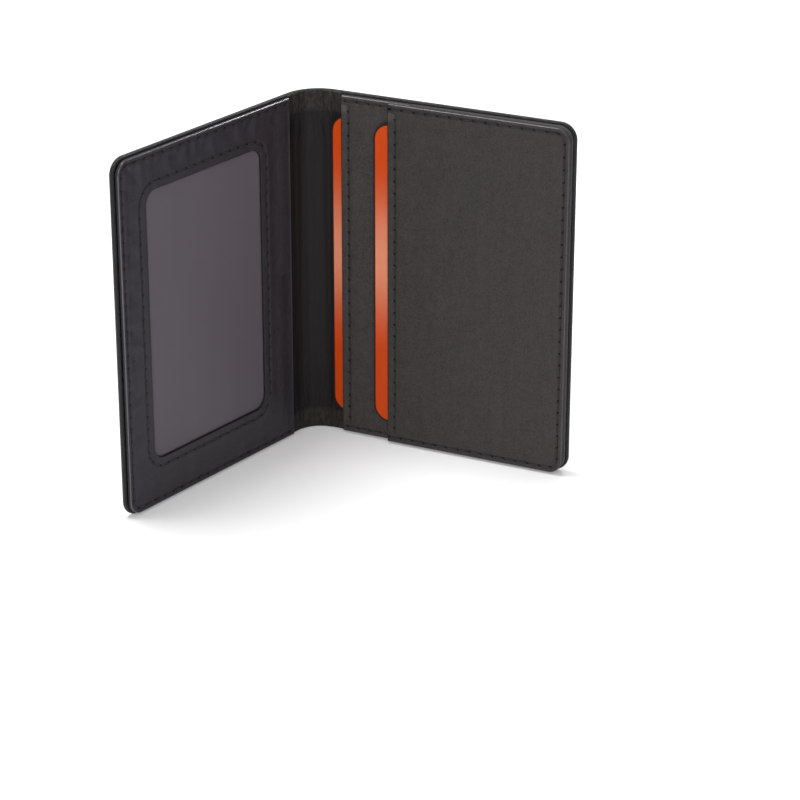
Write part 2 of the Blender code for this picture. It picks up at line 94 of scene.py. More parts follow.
CASE_HEIGHT = reach("card_leaf_cover", UP)[1]
LEAF_WIDTH = card_reach("card_leaf_cover", CARD_ALONG)[1]
FOLD_DEPTH = -card_reach("card_leaf_cover", CARD_INWARD)[0]
COVER_END = card_reach("card_leaf_cover", CARD_INWARD)[1] + FOLD_DEPTH
LINING_TOP = card_reach("card_leaf_lining", CARD_INWARD)[0] + FOLD_DEPTH
LINING_FACE = card_reach("card_leaf_lining", CARD_INWARD)[1] + FOLD_DEPTH
LINING_INSET = reach("card_leaf_lining", UP)[0]
PANEL_INSET = reach("slot_panel_2", UP)[0]
SLOT_1_EDGE, SLOT_1_FAR = card_reach("slot_panel_1", CARD_ALONG)
SLOT_1_FACE = card_reach("slot_panel_1", CARD_INWARD)[1] + FOLD_DEPTH
SLOT_2_EDGE, PANEL_FAR = card_reach("slot_panel_2", CARD_ALONG)
SLOT_2_FACE = card_reach("slot_panel_2", CARD_INWARD)[1] + FOLD_DEPTH
FRAME_EDGE = window_reach("window_frame", WINDOW_ALONG)[0]
FRAME_FACE = window_reach("window_frame", WINDOW_INWARD)[1] + FOLD_DEPTH
LAYER_GAP = 0.1

# Sizes of the leather work

LEAF_CORNER = 4.5
PANEL_CORNER = LEAF_CORNER - PANEL_INSET
WINDOW_CORNER = 3.6
CARD_CORNER = 4.6
# Painted shadow: the width of the darkened rim round each card's face.
CARD_RIM = 0.7
# Painted sheen: the middle and reach of the pale band across each card.
CARD_GLEAM = CASE_HEIGHT / 2 + 4.5
CARD_GLEAM_REACH = 30.0
CARD_ROUND_CUTS = 8
HEM_WIDTH = 6.0
COVER_RIM = 0.6
PANEL_RIM = 0.3
LIP_RIM = 0.4
LIP_DROP = 0.5
POCKET_RIM = 0.15
# Painted highlight: how far out from a slot's edge its lip is lightened, as where the crowned lip catches the
# light.
LIP_HIGHLIGHT_BAND = (0.1, 1.9)
LIP_TIP = (6.5, 3.5)
COVER_SKIN = 0.28
PANEL_SKIN = 0.18
CLOTH_SKIN = 0.12

# The seams

PITCH = 3.4
STEP = PITCH / 6
SEAM_INSET = 2.0
SLOT_SEAM = 2.1
WINDOW_SEAM = 2.4
SEAM_CORNER = LEAF_CORNER - SEAM_INSET
SEAM_FORE_HALF = CASE_HEIGHT / 2 - LEAF_CORNER
SEAM_BEND = SEAM_CORNER * math.pi / 2
SEAM_NEAR = 3.0
PULLED_EDGE = 10.0
PULLED_SLOT = 8.0
THREAD = 0.16
THREAD_DEPTH = 0.12
STITCH_SHARE = 0.84
STITCH_CUTS = (-0.42, -0.33, -0.18, 0.0, 0.18, 0.33, 0.42)
STITCH_TAPER = 0.35
STITCH_DIVE = 0.28
HOLE_LEAN = 0.5
HOLE_WIDE = 2.9
HOLE_LONG = 2.6
HOLE_DEPTH = 0.09
GROOVE_SHADE = (0.1, 0.7)
NO_SEAM = 50.0
THREAD_NEAR, THREAD_FAR = reach("slot_1_thread", CARD_ALONG)
RING_INSET = WINDOW_SEAM + (THREAD_FAR - THREAD_NEAR) / 2
RING_NEAR, RING_FAR = window_reach("window_thread", WINDOW_ALONG)
RING_FOOT, RING_TOP = reach("window_thread", UP)
WINDOW_X = (RING_NEAR + RING_INSET, RING_FAR - RING_INSET)
WINDOW_Z = (RING_FOOT + RING_INSET, RING_TOP - RING_INSET)
WINDOW_MIDDLE = (sum(WINDOW_X) / 2, sum(WINDOW_Z) / 2)
WINDOW_STRAIGHT = tuple((high - low) / 2 - WINDOW_CORNER for low, high in (WINDOW_X, WINDOW_Z))
WINDOW_RING = WINDOW_CORNER + WINDOW_SEAM
WINDOW_RUN = 4 * sum(WINDOW_STRAIGHT) + 2 * math.pi * WINDOW_RING
WINDOW_PITCH = WINDOW_RUN / (2 * round(WINDOW_RUN / PITCH / 2))

# The soft bend of the spine: one round arc that runs a little way on to each leaf

SPINE_RADIUS = 10.6
SPINE_HEM_SHARE = 0.7
BEND_START = SPINE_RADIUS * math.tan(REST_FOLD) - SPINE_WIDTH / 2 / math.cos(REST_FOLD)
HALF_ARC = SPINE_RADIUS * REST_FOLD
LINING_REACH = 7.4
LINING_EDGE = 0.25
LINING_HEM = (6.4, 4.8)
LINING_CREASED = (25.0, 9.0)
# The lining's long folds: way along, width, depth and lean of each
LINING_FOLDS = (
    (1.1, 0.9, 0.1, 0.01), (3.3, 1.1, 0.13, -0.012), (5.6, 0.9, 0.12, 0.016), (7.6, 0.7, 0.05, 0.01),
)

# Where the rows of stitches begin

OUTER_ROW = BEND_START + 0.3
STRIP_ROW = SLOT_1_EDGE + 1.0
STRIP_ROW_END = SLOT_2_EDGE - 0.2
PANEL_ROW = SLOT_2_EDGE + 0.4
FRAME_ROW = FRAME_EDGE + 1.0
FRAME_SEWN_FROM = FRAME_EDGE + 0.6


class Leaf:
    """A leaf's body and where its leather runs."""

    def __init__(self, body, along, inward):
        self.body = body
        self.crease = np.array(CREASE[body])
        self.along = np.array(along)
        self.inward = np.array(inward)

    def flat(self, along, depth, up):
        """Points of the flat leaf, in metres."""
        run = (np.asarray(along) * MM)[..., None] * self.along
        sink = ((np.asarray(depth) - FOLD_DEPTH) * MM)[..., None] * self.inward
        return self.crease + run + sink + height(up)

    def round(self, along, depth, up):
        """Points of the bent spine and of the leaf beyond it, counted from the spine's middle."""
        along, depth, up = np.broadcast_arrays(along, depth, up)
        centre = self.crease + BEND_START * MM * self.along + SPINE_RADIUS * MM * self.inward
        turn = REST_FOLD - np.minimum(along / SPINE_RADIUS, REST_FOLD)
        out = -np.cos(turn)[..., None] * self.inward - np.sin(turn)[..., None] * self.along
        bent = centre + ((SPINE_RADIUS - (depth - FOLD_DEPTH)) * MM)[..., None] * out + height(up)
        beyond = (np.maximum(along - HALF_ARC, 0.0) * MM)[..., None] * self.along
        return bent + beyond

    def middle(self):
        return Vector(self.round(0.0, FOLD_DEPTH, CASE_HEIGHT / 2))

    def bend_end(self):
        return Vector(self.flat(BEND_START, FOLD_DEPTH, CASE_HEIGHT / 2))


def height(up):
    return (np.asarray(up) * MM)[..., None] * np.array(UP)


CARD_LEAF = Leaf("card_leaf", CARD_ALONG, CARD_INWARD)
WINDOW_LEAF = Leaf("window_leaf", WINDOW_ALONG, WINDOW_INWARD)


# Leather and cloth sheets


def quarter(count):
    """The angles inside a quarter turn, in count steps."""
    return [math.pi / 2 * n / count for n in range(1, count)]


def rolled_edge(rim, wall):
    """An edge rolled over a wall, from the wall's foot up to the face: inset and fall."""
    rolled = [(rim - rim * math.cos(a), rim - rim * math.sin(a)) for a in quarter(4)]
    return [(0.0, wall), (0.0, rim)] + rolled + [(rim, 0.0)]


def cover_rings():
    """The turned edge of a cover from its free edge inside round to the face: inset and fall."""
    rim, depth = COVER_RIM, COVER_END
    rings = [(HEM_WIDTH, depth), (HEM_WIDTH / 2, depth), (1.2, depth), (rim, depth)]
    rings += [(rim - rim * math.sin(a), depth - rim + rim * math.cos(a)) for a in quarter(4)]
    face = (0.8, 1.05, 1.3, 1.5, 1.7, 1.85, 2.0, 2.15, 2.3, 2.5, 2.8, 3.2, 3.7, LEAF_CORNER)
    return rings + rolled_edge(rim, depth - rim) + [(inset, 0.0) for inset in face]


def panel_rings(wall, rim=PANEL_RIM):
    """A sewn panel's edge from the bottom of its side up to its face."""
    face = (0.5, 0.75, 0.95, 1.1, 1.25, 1.4, 1.55, 1.7, 1.9, 2.2, 2.6, 3.2, PANEL_CORNER)
    return rolled_edge(rim, wall) + [(inset, 0.0) for inset in face]


def between(low, high, step):
    """Evenly spaced lines strictly between two places."""
    count = max(int(round((high - low) / step)), 1)
    return list(np.linspace(low, high, count + 1)[1:-1])


def ease(share):
    """A soft step from 0 to 1."""
    share = np.clip(share, 0.0, 1.0)
    return share * share * (3.0 - 2.0 * share)


class Net:
    """The lines of a sheet whose foot, top and fore edge turn down, ring by ring."""

    def __init__(self, near, far, low, high, rings, corner, near_edge=(), fore=True,
                 across=(), up=()):
        insets, falls = (np.array(column) for column in zip(*rings))
        last = len(rings) - 1
        columns = [near + inset for inset, _ in near_edge] or [near]
        columns += list(across) or between(columns[-1], far - corner if fore else far, STEP)
        fore_rings = list(range(last, -1, -1)) if fore else [last]
        col = np.array(columns + [far - insets[k] if fore else far for k in fore_rings])
        ring_c = np.array([last] * len(columns) + fore_rings)
        rows = list(up) or between(low + corner, high - corner, STEP)
        row = np.array(list(low + insets) + rows + list(high - insets[::-1]))
        ring_r = np.array([*range(last + 1), *[last] * len(rows), *range(last, -1, -1)])
        side_c, side_r = np.meshgrid(ring_c, ring_r, indexing="ij")
        plain_x, plain_z = np.meshgrid(col, row, indexing="ij")
        ring = np.minimum(side_c, side_r)
        inset = insets[ring]
        bend = np.where(ring == last, corner, np.maximum(corner, inset + 0.05))
        share = (np.maximum(side_c, side_r) - ring) / np.maximum(last - ring, 1)
        angle = np.pi / 4 * np.where(side_c <= side_r, 1.0 - share, 1.0 + share)
        middle = (low + high) / 2
        straight_x = near + (plain_x - near) * (far - bend - near) / (far - corner - near)
        straight_z = middle + (plain_z - middle) * (high - middle - bend) / (high - middle - corner)
        on_fore, on_end = side_c < last, side_r < last
        x = np.where(on_end & fore, straight_x, plain_x)
        x = np.where(on_fore & ~on_end, far - inset, x)
        x = np.where(on_fore & on_end, far - bend + (bend - inset) * np.cos(angle), x)
        from_end = np.where(on_fore & on_end, bend - (bend - inset) * np.sin(angle), inset)
        z = np.where(plain_z > middle, high - from_end, low + from_end)
        self.x = x
        self.z = np.where(on_end, z, np.where(on_fore, straight_z, plain_z))
        self.fall = falls[ring].copy()
        # Painted shade: the share of each folded near edge, which the finish darkens as if in shadow.
        self.fold = np.zeros_like(self.fall)
        for number, (_, fall) in enumerate(near_edge):
            self.fall[number] += fall
            self.fold[number] = min(fall / LIP_RIM, 1.0)
        self.fall = np.minimum(self.fall, falls.max())


def edge_seam(x, z):
    """Where a point lies by the seam round a leaf: stitches along it and inset from the edge."""
    side_x = x - (LEAF_WIDTH - LEAF_CORNER)
    side_z = np.abs(z - CASE_HEIGHT / 2) - SEAM_FORE_HALF
    in_corner = (side_x > 0) & (side_z > 0)
    inset = LEAF_CORNER - np.where(in_corner, np.hypot(side_x, side_z), np.maximum(side_x, side_z))
    turn = np.arctan2(np.maximum(side_z, 0.0), np.maximum(side_x, 1e-9))
    run = np.where(side_x > side_z, side_z + SEAM_FORE_HALF, SEAM_FORE_HALF + SEAM_BEND - side_x)
    run = np.where(in_corner, SEAM_FORE_HALF + SEAM_CORNER * turn, run)
    return np.where(z < CASE_HEIGHT / 2, -1.0, 1.0) * run / PITCH, inset


def window_seam(x, z):
    """The same for the seam round the window: stitches along it and distance out of the window."""
    from_x, from_z = x - WINDOW_MIDDLE[0], z - WINDOW_MIDDLE[1]
    side_x, side_z = np.abs(from_x) - WINDOW_STRAIGHT[0], np.abs(from_z) - WINDOW_STRAIGHT[1]
    in_corner = (side_x > 0) & (side_z > 0)
    out = np.where(in_corner, np.hypot(side_x, side_z), np.maximum(side_x, side_z)) - WINDOW_CORNER
    turn = np.arctan2(np.maximum(side_z, 0.0), np.maximum(side_x, 1e-9))
    level = WINDOW_STRAIGHT[1] + WINDOW_RING * math.pi / 2 - side_x
    run = np.where(side_x > side_z, np.abs(from_z), level)
    run = np.where(in_corner, WINDOW_STRAIGHT[1] + WINDOW_RING * turn, run)
    return np.where(from_x * from_z < 0, -1.0, 1.0) * run / WINDOW_PITCH, out


def pull_in(along, off, groove=0.16, pucker=0.1, far=2.0, near=0.8, width=0.34):
    """How far a row of stitches draws the leather down: off is the distance from the row."""
    dip = groove * np.exp(-((off / width) ** 2))
    lean = 0.12 * np.sin(along * 1.7) + 0.1 * np.sin(along * 0.63 + 2.0)
    gather = 0.5 + 0.5 * np.cos(2 * np.pi * (along + lean * np.clip(off / far, 0.0, 1.0)))
    uneven = 1.0 + 0.4 * np.sin(along * 2.3) + 0.35 * np.sin(along * 0.91 + 1.0)
    fade = np.exp(-np.abs(off) / np.where(off > 0, far, near))
    return dip + pucker * gather * uneven * fade


def rolling(x, z, size):
    """The slow unevenness of leather on board."""
    waves = np.sin(x * 0.19 + 0.7) * np.sin(z * 0.13 + 0.4) + 0.6 * np.sin(x * 0.07 - z * 0.11 + 2.0)
    return size * np.clip(waves + 0.4, 0.0, None)


def only(*objects):
    bpy.ops.object.select_all(action="DESELECT")
    for obj in objects:
        obj.select_set(True)
    bpy.context.view_layer.objects.active = objects[0]


def apply_all(obj):
    only(obj)
    for modifier in list(obj.modifiers):
        bpy.ops.object.modifier_apply(modifier=modifier.name)


def sheet(name, net, depth, spot, outward, thick, dip=0.0, charts=(), hole=None, side=-1.0,
          rim=PANEL_RIM):
    """Leather or cloth with a real thickness: a grid pushed into shape, then given its wall.

    A cover lies on the outer face and sinks with side 1, and an inner sheet with side -1.
    """
    dip = dip * (net.fall < 1e-6)
    columns, rows = net.x.shape
    bpy.ops.object.select_all(action="DESELECT")
    bpy.ops.mesh.primitive_grid_add(x_subdivisions=columns - 1, y_subdivisions=rows - 1, size=1)
    obj = bpy.context.object
    obj.name = obj.data.name = name
    mesh = obj.data
    flat = np.zeros(len(mesh.vertices) * 3)
    mesh.vertices.foreach_get("co", flat)
    flat = flat.reshape(-1, 3)
    c = np.rint((flat[:, 0] + 0.5) * (columns - 1)).astype(int)
    r = np.rint((flat[:, 1] + 0.5) * (rows - 1)).astype(int)
    points = spot(net.x, depth + side * (net.fall + dip), net.z)
    mesh.vertices.foreach_set("co", points[c, r].astype(np.float32).ravel())
    # Marks for the finish: roll for the polished rim, side for painted shade on the edge walls, and the
    # folded-edge share for painted shade on folded edges.
    share = np.clip(net.fall / rim, 0.0, 1.5)
    roll = np.sin(np.pi * np.sqrt(np.clip(share, 0.0, 1.0))) * (net.fold < 1e-6)
    for label, values in (("roll", roll), ("side", share - 0.5), ("fold", net.fold)):
        painted = mesh.attributes.new(label, "FLOAT", "POINT")
        values = np.clip(values[c, r], 0.0, 1.0)
        painted.data.foreach_set("value", values.astype(np.float32))
    corners = np.zeros(len(mesh.loops), int)
    mesh.loops.foreach_get("vertex_index", corners)
    for label, (along, off) in charts:
        chart = mesh.uv_layers.new(name=label)
        pairs = np.stack([along[c, r], off[c, r]], axis=-1)[corners]
        chart.data.foreach_set("uv", pairs.astype(np.float32).ravel())
    mesh.update()
    bpy.ops.object.mode_set(mode="EDIT")
    if hole is not None:
        bpy.ops.mesh.select_all(action="DESELECT")
        bpy.context.tool_settings.mesh_select_mode = (False, False, True)
        shape = bmesh.from_edit_mesh(mesh)
        inside = hole[c, r]
        for face in shape.faces:
            face.select_set(all(inside[vert.index] for vert in face.verts))
        bmesh.update_edit_mesh(mesh)
        bpy.ops.mesh.delete(type="FACE")
        bpy.context.tool_settings.mesh_select_mode = (True, False, False)
    bpy.ops.mesh.select_all(action="SELECT")
    bpy.ops.mesh.remove_doubles(threshold=0.000001)
    wanted = Vector(outward)
    shape = bmesh.from_edit_mesh(mesh)
    if sum(face.normal.dot(wanted) * face.calc_area() for face in shape.faces) < 0:
        bpy.ops.mesh.flip_normals()
    bpy.ops.object.mode_set(mode="OBJECT")
    wall = obj.modifiers.new("wall", "SOLIDIFY")
    wall.thickness = thick * MM
    wall.offset = -1.0
    apply_all(obj)
    bpy.ops.object.shade_smooth_by_angle(angle=math.radians(50))
    return obj


# Finishes


class Wire:
    """A value in a finish. Arithmetic on it adds Math nodes."""

    def __init__(self, socket):
        self.socket = socket

    def maths(self, operation, *values):
        tree = self.socket.id_data
        made = tree.nodes.new("ShaderNodeMath")
        made.operation = operation
        for slot, value in zip(made.inputs, values):
            join(tree, value, slot)
        return Wire(made.outputs[0])

    def __add__(self, other):
        return self.maths("ADD", self, other)

    def __radd__(self, other):
        return self.maths("ADD", other, self)

    def __sub__(self, other):
        return self.maths("SUBTRACT", self, other)

    def __rsub__(self, other):
        return self.maths("SUBTRACT", other, self)

    def __mul__(self, other):
        return self.maths("MULTIPLY", self, other)

    def __rmul__(self, other):
        return self.maths("MULTIPLY", other, self)

    def __pow__(self, other):
        return self.maths("POWER", self, other)

    def most(self, other):
        return self.maths("MAXIMUM", self, other)

    def size(self):
        return self.maths("ABSOLUTE", self)

    def part(self):
        return self.maths("FRACT", self)

    def wave(self):
        return self.maths("SINE", self)


def join(tree, value, slot):
    if isinstance(value, Wire):
        tree.links.new(value.socket, slot)
    elif isinstance(value, (tuple, list)) and len(value) == 3 and len(slot.default_value) == 4:
        slot.default_value = (*value, 1.0)
    else:
        slot.default_value = value


class Finish:
    """A material built from nodes."""

    def __init__(self, name, **constants):
        self.material = bpy.data.materials.new(name)
        self.material.use_nodes = True
        self.tree = self.material.node_tree
        self.shader = self.tree.nodes["Principled BSDF"]
        for socket, value in constants.items():
            join(self.tree, value, self.shader.inputs[socket.replace("_", " ")])

    def add(self, kind, settings=None, inputs=None, output=0):
        made = self.tree.nodes.new(kind)
        for key, value in (settings or {}).items():
            setattr(made, key, value)
        for key, value in (inputs or {}).items():
            join(self.tree, value, made.inputs[key])
        return Wire(made.outputs[output])

    def place(self, scale=(1000.0, 1000.0, 1000.0)):
        """Object coordinates in millimetres, or in another measure."""
        spot = self.add("ShaderNodeTexCoord", output=3)
        return self.add("ShaderNodeVectorMath", {"operation": "MULTIPLY"}, {0: spot, 1: scale})

    def split(self, vector):
        return [self.add("ShaderNodeSeparateXYZ", None, {"Vector": vector}, n) for n in range(3)]

    def chart(self, label):
        return self.split(self.add("ShaderNodeUVMap", {"uv_map": label}))[:2]

    def mark(self, name):
        """A number painted on the piece's points."""
        return self.add("ShaderNodeAttribute", {"attribute_name": name}, None, 2)

    def noise(self, vector, scale, detail=3.0, rough=0.5):
        return self.add(
            "ShaderNodeTexNoise", None,
            {"Vector": vector, "Scale": scale, "Detail": detail, "Roughness": rough},
        )

    def ramp(self, value, low, high, start=0.0, end=1.0):
        return self.add(
            "ShaderNodeMapRange", {"interpolation_type": "SMOOTHSTEP"},
            {"Value": value, "From Min": low, "From Max": high, "To Min": start, "To Max": end},
        )

    def blend(self, share, first, second):
        """Two colours mixed by a share."""
        inputs = {"Factor": share, 6: first, 7: second}
        return self.add("ShaderNodeMix", {"data_type": "RGBA"}, inputs, 2)

    def tint(self, colour, factor):
        """A colour made darker or lighter by a factor."""
        return self.add(
            "ShaderNodeVectorMath", {"operation": "SCALE"}, {0: colour, "Scale": factor}
        )

    def bump(self, relief):
        """Relief in millimetres."""
        inputs = {"Height": relief, "Distance": MM, "Strength": 1.0}
        return self.add("ShaderNodeBump", None, inputs)

    def send(self, **links):
        for socket, wire in links.items():
            join(self.tree, wire, self.shader.inputs[socket.replace("_", " ")])
        return self.material


def stitch_marks(finish, label, row, pitch=PITCH):
    """The slanted holes of a row of stitches and the shade in its groove: masks that the leather darkens as
    painted shade.
    """
    along, off = finish.chart(label)
    away = off - row
    step = ((along + 0.5).part() - 0.5) * pitch + away * HOLE_LEAN
    hole = finish.ramp((step * HOLE_WIDE) ** 2.0 + (away * HOLE_LONG) ** 2.0, 0.4, 1.3, 1.0, 0.0)
    groove = finish.ramp(away.size(), *GROOVE_SHADE, 1.0, 0.0)
    return hole, groove


def leather(name, colour, rough, cell, relief_size, rows=(), drift=0.25, mottle=0.0, lip=False,
            polish=1.0, streak=0.0, **constants):
    """Leather with its pores and grain, sewn rows and a polished edge."""
    finish = Finish(name, Coat_Roughness=0.1, Coat_IOR=1.9, **constants)
    spot = finish.place()
    warp = finish.add("ShaderNodeTexNoise", None, {"Vector": spot, "Scale": 1.3, "Detail": 2.0}, 1)
    warped = finish.add("ShaderNodeVectorMath", {"operation": "ADD"}, {0: spot, 1: warp})
    pebble = finish.add(
        "ShaderNodeTexVoronoi", {"feature": "SMOOTH_F1"},
        {"Vector": warped, "Scale": 1.0 / cell, "Smoothness": 0.3},
    )
    fine = finish.noise(spot, 5.5, 3.0, 0.6)
    slow = finish.noise(spot, 0.09, 3.0, 0.55)
    cloud = finish.noise(spot, 0.45, 3.0, 0.6)
    relief = (1.0 - pebble) * relief_size + fine * relief_size * 0.5 + slow * 0.5
    shade = 1.0 - drift * 0.5 + slow * drift + (cloud - 0.5) * mottle + (0.5 - pebble) * mottle
    if streak:
        pulled = finish.noise(finish.place((1000.0, 1000.0, 160.0)), 0.5, 4.0, 0.6)
        shade = shade + (pulled - 0.5) * streak
        relief = relief + pulled * streak * 0.25
    hole_and_groove_shade = None
    for label, row, pitch in rows:
        hole, groove = stitch_marks(finish, label, row, pitch)
        relief = relief - hole * HOLE_DEPTH
        # Painted shade: the stitch holes and the seam's groove are darkened as if in shadow.
        dark = hole * 0.85 + groove * 0.2
        hole_and_groove_shade = dark if hole_and_groove_shade is None else hole_and_groove_shade.most(dark)
    if lip:
        along, off = finish.chart("slot_seam")
        # Painted highlight: the lip is lightened from its edge to near its stitch row, as where it catches the
        # light.
        lip_highlight = finish.ramp(off, *LIP_HIGHLIGHT_BAND, 1.0, 0.0)
        start, end = (CASE_HEIGHT / 2 - spot for spot in LIP_TIP)
        tip = finish.ramp(along * PITCH, start, end) * finish.ramp(off, 1.6, 2.8, 1.0, 0.0)
        shade = shade + lip_highlight * 0.12 + tip * (0.3 + cloud)
    if hole_and_groove_shade is not None:
        shade = shade * (1.0 - hole_and_groove_shade)
    # Painted shade: the walls of a sheet's edges are darkened by up to 0.6, as if in shadow.
    roll, side = finish.mark("roll"), finish.mark("side")
    # Painted shade: folded edges are darkened by up to 0.75, as if in shadow.
    fold = finish.ramp(finish.mark("fold"), 0.0, 0.2)
    shade = shade * (1.0 - side * 0.6) * (1.0 - fold * 0.75)
    roughness = rough + (slow - 0.5) * 0.2 + (cloud - 0.5) * 0.1 + side * 0.2
    return finish.send(
        Base_Color=finish.tint(colour, shade), Roughness=roughness, Coat_Weight=roll * polish,
        Normal=finish.bump(relief * (1.0 - roll * 0.8)),
    )


def cloth(name, colour, rough, thread=0.32, relief=0.03):
    """A plain closely woven lining."""
    finish = Finish(name, Specular_IOR_Level=0.3, Sheen_Weight=0.1)
    spot = finish.place()
    x, y, z = finish.split(spot)
    turn = 2 * math.pi / thread
    weave = (z * turn).wave() * ((x + y) * turn).wave() * 0.5 + 0.5
    slow = finish.noise(spot, 0.2)
    return finish.send(
        Base_Color=finish.tint(colour, 0.85 + slow * 0.2 + weave * 0.1),
        Roughness=rough + (slow - 0.5) * 0.1, Normal=finish.bump((weave + slow) * relief),
    )


def backing():
    """The plain bonded sheet that shows grey through the window."""
    finish = Finish("grey_backing", Specular_IOR_Level=0.2)
    spot = finish.place()
    felt = finish.noise(spot, 1.1, 3.0, 0.5)
    slow = finish.noise(spot, 0.05, 2.0)
    return finish.send(
        Base_Color=finish.tint((0.17, 0.146, 0.167), 0.95 + felt * 0.03 + slow * 0.06),
        Roughness=0.8 + (felt - 0.5) * 0.1, Normal=finish.bump(felt * 0.004),
    )


def card_stock():
    """Grey board with its fibres."""
    finish = Finish("grey_board", Specular_IOR_Level=0.2)
    fibre = finish.noise(finish.place(), 2.2, 5.0, 0.7)
    return finish.send(
        Base_Color=finish.tint((0.19, 0.17, 0.14), 0.8 + fibre * 0.4),
        Roughness=0.85 + (fibre - 0.5) * 0.1, Normal=finish.bump(fibre * 0.03),
    )


def film_finish():
    """Clear film with a slight haze and hairline scratches."""
    finish = Finish("clear_film", Specular_IOR_Level=0.3)
    haze = finish.noise(finish.place((1000.0, 1000.0, 250.0)), 0.12, 2.0)
    hair = finish.noise(finish.place((4000.0, 4000.0, 200.0)), 0.5, 2.0)
    return finish.send(
        Base_Color=finish.tint((0.122, 0.107, 0.124), 0.96 + haze * 0.08),
        Roughness=0.45 + haze * 0.06 + hair * 0.04, Alpha=0.72 + haze * 0.04,
        Normal=finish.bump(haze * 0.02),
    )


def card_finish():
    """Orange satin plastic with a painted sheen that pales it towards the middle of its height, and a painted
    shadow along its edge.
    """
    finish = Finish("card_plastic", Specular_IOR_Level=0.2)
    spot = finish.place()
    z = finish.split(spot)[2]
    # Painted sheen: the orange pales towards a band across the card's middle, as where it reflects the light.
    painted_sheen = finish.ramp((z - CARD_GLEAM).size(), 0.0, CARD_GLEAM_REACH, 1.0, 0.0) ** 1.35
    colour = finish.blend(painted_sheen * 0.9, (0.55, 0.052, 0.0), (0.72, 0.265, 0.15))
    # Painted shadow: the card darkens to brown-black along its edge, as in the gap beside it.
    dark = finish.ramp(finish.mark("painted_edge_shadow"), 0.1, 0.5)
    grain = finish.noise(spot, 7.0, 2.0)
    slow = finish.noise(spot, 0.3, 2.0)
    return finish.send(
        Base_Color=finish.tint(finish.blend(dark, colour, (0.018, 0.006, 0.004)), 0.95 + slow * 0.1),
        Roughness=0.4 + grain * 0.08, Normal=finish.bump(grain * 0.004),
    )


def thread_finish():
    """Waxed black thread, with its twist."""
    finish = Finish("black_thread", Specular_IOR_Level=0.45)
    spot = finish.place()
    x, y, z = finish.split(spot)
    twist = ((x + y + z) * 26.0).wave()
    fuzz = finish.noise(spot, 9.0, 2.0)
    return finish.send(
        Base_Color=finish.tint((0.024, 0.022, 0.024), 0.75 + twist * 0.2 + fuzz * 0.2),
        Roughness=0.42 + fuzz * 0.15, Normal=finish.bump(twist * 0.02),
    )


def spine_lining_finish():
    """Soft dark leather, gathered into a mottled paler band where it is turned over; the light and shade of its
    wrinkles, gathers and creases are painted into its colour besides their relief.
    """
    finish = Finish("spine_lining_leather", Specular_IOR_Level=0.15)
    along, up = finish.chart("run")
    from_middle = (up - CASE_HEIGHT / 2).size()
    band = finish.ramp(from_middle, *(CASE_HEIGHT / 2 - end for end in LINING_HEM))
    flow = finish.add("ShaderNodeCombineXYZ", None, {"X": along, "Y": up * 0.05, "Z": 0.0})
    wrinkle_relief_and_shade = finish.noise(flow, 0.7, 2.0)
    crush = finish.add("ShaderNodeCombineXYZ", None, {"X": along, "Y": up * 0.4, "Z": 5.0})
    gather = finish.noise(crush, 1.5, 4.0, 0.65)
    fine = finish.noise(finish.place(), 5.0)
    skew = finish.add(
        "ShaderNodeCombineXYZ", None, {"X": along + from_middle * 0.13, "Y": up * 0.12, "Z": 9.0}
    )
    near_end = finish.ramp(from_middle, *(CASE_HEIGHT / 2 - end for end in LINING_CREASED))
    crease = (finish.noise(skew, 0.9, 3.0) - 0.5) * (near_end * (1.0 - band))
    # Painted light and shade: the wrinkles, the gathers in the turned-over band and the creases near the ends
    # lighten and darken the colour.
    shade = 0.85 + wrinkle_relief_and_shade * 0.3 + (fine - 0.5) * 0.1 + band * (gather - 0.62) * 2.4 + crease * 1.6
    colour = finish.blend(band, (0.0122, 0.0102, 0.0105), (0.036, 0.031, 0.029))
    relief = wrinkle_relief_and_shade * 0.12 + fine * 0.015 + band * gather * 0.25 + crease * 0.3
    return finish.send(
        Base_Color=finish.tint(colour, shade), Roughness=0.55 + (fine - 0.5) * 0.15,
        Normal=finish.bump(relief),
    )


EDGE_ROW = ("edge_seam", SEAM_INSET, PITCH)
SLOT_ROW = ("slot_seam", SLOT_SEAM, PITCH)
WINDOW_ROW = ("window_seam", WINDOW_SEAM, WINDOW_PITCH)
BLACK = {"colour": (0.0075, 0.0075, 0.009), "rough": 0.33, "cell": 0.6, "relief_size": 0.13,
         "mottle": 0.15, "polish": 0.4, "Specular_IOR_Level": 0.36}
OUTER = leather("cover_leather", rows=[EDGE_ROW], **BLACK)
SPINE_OUTER = leather("spine_leather", **BLACK)
# Painted light: the first slot's leather is a copy of the second's, about a fifth lighter to offset the shade it
# lies in.
STRIP_LEATHER, PANEL_LEATHER = (
    leather(name, colour, 0.56, 0.5, 0.022, [EDGE_ROW, SLOT_ROW], mottle=0.55, lip=True,
            polish=0.5, streak=0.35, Specular_IOR_Level=0.25)
    for name, colour in (("first_slot_leather_lightened", (0.041, 0.0348, 0.0342)),
                         ("second_slot_leather", (0.0335, 0.0285, 0.0282)))
)
FRAME_LEATHER = leather(
    "window_leaf_leather", (0.025, 0.0222, 0.028), 0.5, 0.5, 0.022, [EDGE_ROW, WINDOW_ROW],
    mottle=0.4, streak=0.3, Specular_IOR_Level=0.25,
)
DARK_CLOTH = cloth("dark_lining_cloth", (0.016, 0.014, 0.014), 0.75)
BACKING = backing()
THREAD_FINISH = thread_finish()
LINING_LEATHER = spine_lining_finish()
BOARD_FINISH = card_stock()
CARD_FINISH = card_finish()
FILM_FINISH = film_finish()


def dress(obj, material, node):
    """Gives a piece its finish and hides the solid it stands for."""
    obj.data.materials.clear()
    obj.data.materials.append(material)
    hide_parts(node)


# Covers and spine


